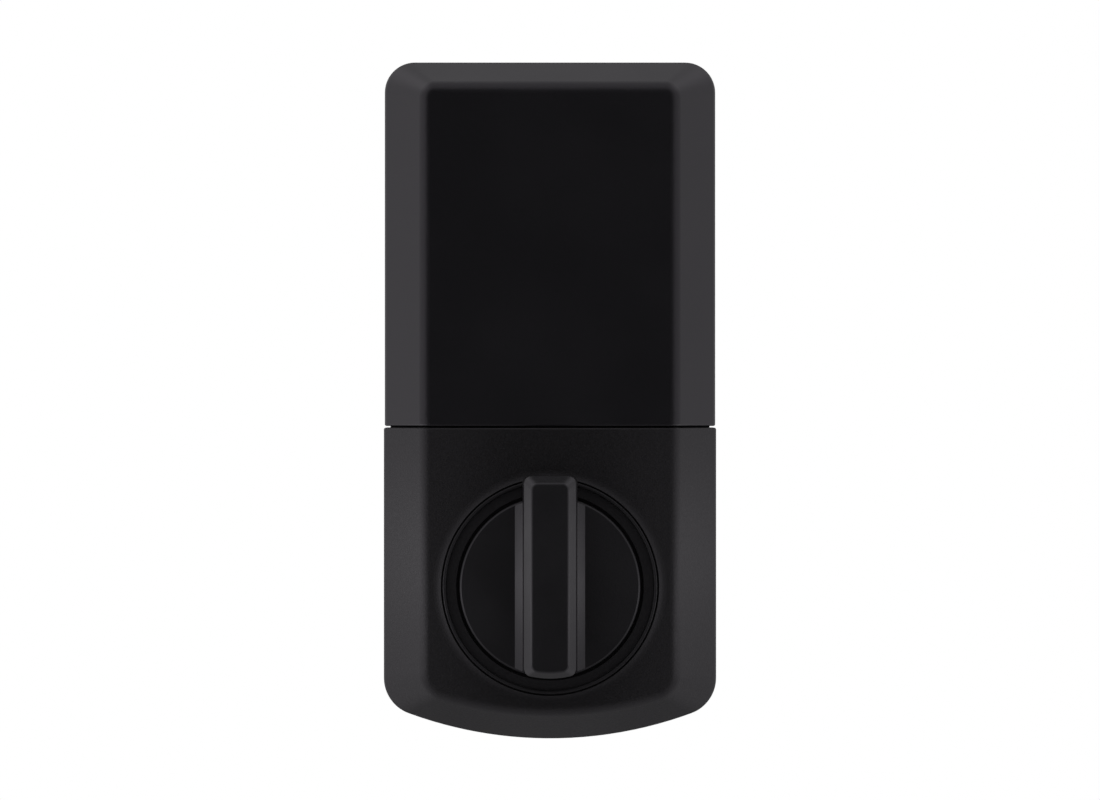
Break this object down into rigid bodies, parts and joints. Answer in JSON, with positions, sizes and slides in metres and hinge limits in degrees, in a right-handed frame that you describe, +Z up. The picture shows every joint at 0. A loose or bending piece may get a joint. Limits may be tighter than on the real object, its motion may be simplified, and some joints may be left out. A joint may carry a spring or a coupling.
{
  "type": "keypad deadbolt indoor unit",
  "caption": "Indoor unit of a keypad deadbolt: lift-off battery cover over a bevelled lower cover, ringed thumb turn, geared motor drive, circuit board, battery tray and door plate",
  "frame": {"origin": "where the thumb turn's axis meets the door's face, midway between the two door bolts", "axes": "+Z up the door, +Y into the door, +X to the right as seen from the room"},
  "size_m": [0.0706, 0.0505, 0.1436],
  "materials": {
    "board_green": "solder mask",
    "bush_bronze": "sintered bronze",
    "button_red": "moulded",
    "capacitor_aluminium": "drawn can",
    "cell_sleeve": "printed sleeve with a copper-coloured band",
    "chassis_black": "moulded, light texture",
    "chip_black": "moulded",
    "gear_brass": "cut brass",
    "gear_nylon": "natural acetal",
    "knob_black_paint": "satin paint over die casting",
    "lead_black": "insulated wire",
    "lead_red": "insulated wire",
    "magnet_nickel": "nickel plate",
    "motor_steel": "drawn can",
    "nickel_contact": "nickel plate",
    "pale_nylon": "natural nylon",
    "ring_black": "fine textured moulding",
    "satin_black_cover": "smooth satin moulding",
    "screw_steel": "plated",
    "shield_tin": "tinned can",
    "slider_white": "moulded",
    "spring_steel": "bright spring strip",
    "switch_blue": "moulded",
    "textured_black_paint": "fine textured powder coat over die casting",
    "turned_steel": "turned",
    "zinc_plated_steel": "zinc-plated pressing"
  },
  "bodies": {
    "base": {"battery_cell_1": "cell_sleeve", "battery_cell_2": "cell_sleeve", "battery_cell_3": "cell_sleeve", "battery_cell_4": "cell_sleeve", "battery_tray": "chassis_black", "bezel_ring": "ring_black", "board_chips": "chip_black", "board_screws": "screw_steel", "cable_header": "pale_nylon", "capacitors": "capacitor_aluminium", "chassis": "chassis_black", "contact_plates": "nickel_contact", "contact_springs": "nickel_contact", "cover_clips": "spring_steel", "cover_screws": "screw_steel", "door_plate": "zinc_plated_steel", "front_bush": "bush_bronze", "front_cover": "textured_black_paint", "gear_axles": "turned_steel", "gearbox_plate": "zinc_plated_steel", "gearbox_screws": "screw_steel", "main_board": "board_green", "motor_can": "motor_steel", "motor_end_cap": "pale_nylon", "motor_lead_black": "lead_black", "motor_lead_red": "lead_red", "motor_plug": "pale_nylon", "motor_screws": "screw_steel", "motor_terminals": "gear_brass", "position_sensor": "chip_black", "program_switch": "chip_black", "radio_module": "shield_tin", "rear_bush": "bush_bronze", "ring_screws": "screw_steel", "sounder": "chip_black", "switch_bank": "switch_blue", "tray_screws": "screw_steel", "unit_screws": "screw_steel", "wave_washer": "spring_steel"},
    "turning_set": {"thumb_turn": "knob_black_paint", "drive_hub": "turned_steel", "knob_screw": "screw_steel", "spindle_gear": "gear_brass", "hub_clip": "spring_steel", "position_magnet": "magnet_nickel"},
    "reduction_wheel_2": {"reduction_gear_2": "gear_brass"},
    "reduction_wheel_1": {"reduction_gear_1": "gear_nylon"},
    "motor_rotor": {"motor_shaft": "turned_steel", "motor_pinion": "gear_brass"},
    "lifting_cover": {"battery_cover": "satin_black_cover"},
    "program_key": {"program_button": "button_red"},
    "slider_1": {"setting_slider_1": "slider_white"},
    "slider_2": {"setting_slider_2": "slider_white"},
    "slider_3": {"setting_slider_3": "slider_white"},
    "slider_4": {"setting_slider_4": "slider_white"}
  },
  "joints": [
    {"name": "thumb_turn", "type": "hinge", "parent": "base", "child": "turning_set", "pos_m": [0, 0, 0], "axis": [0, 1, 0], "range_deg": [-90, 90]},
    {"name": "reduction_2_spin", "type": "hinge", "parent": "base", "child": "reduction_wheel_2", "pos_m": [0.00307, 0, 0.02057], "axis": [0, 1, 0], "range_deg": [-301, 301]},
    {"name": "reduction_1_spin", "type": "hinge", "parent": "base", "child": "reduction_wheel_1", "pos_m": [-0.01115, 0, 0.02282], "axis": [0, 1, 0], "range_deg": [-902, 902]},
    {"name": "motor_spin", "type": "hinge", "parent": "base", "child": "motor_rotor", "pos_m": [-0.02333, 0, 0.02564], "axis": [0, 1, 0], "range_deg": [-3605, 3605]},
    {"name": "battery_cover_lift", "type": "slide", "parent": "base", "child": "lifting_cover", "axis": [0, 0, 1], "range_m": [0, 0.08]},
    {"name": "program_press", "type": "slide", "parent": "base", "child": "program_key", "axis": [0, 1, 0], "range_m": [0, 0.00035], "stiffness_N_per_m": 800, "springref_m": -0.0002},
    {"name": "setting_slide_1", "type": "slide", "parent": "base", "child": "slider_1", "axis": [0, 0, 1], "range_m": [0, 0.0024]},
    {"name": "setting_slide_2", "type": "slide", "parent": "base", "child": "slider_2", "axis": [0, 0, 1], "range_m": [0, 0.0024]},
    {"name": "setting_slide_3", "type": "slide", "parent": "base", "child": "slider_3", "axis": [0, 0, 1], "range_m": [0, 0.0024]},
    {"name": "setting_slide_4", "type": "slide", "parent": "base", "child": "slider_4", "axis": [0, 0, 1], "range_m": [0, 0.0024]}
  ],
  "couplings": [
    {"joint": "reduction_2_spin", "follows": "thumb_turn", "ratio": -3.3333},
    {"joint": "reduction_1_spin", "follows": "thumb_turn", "ratio": 10},
    {"joint": "motor_spin", "follows": "thumb_turn", "ratio": -40}
  ]
}
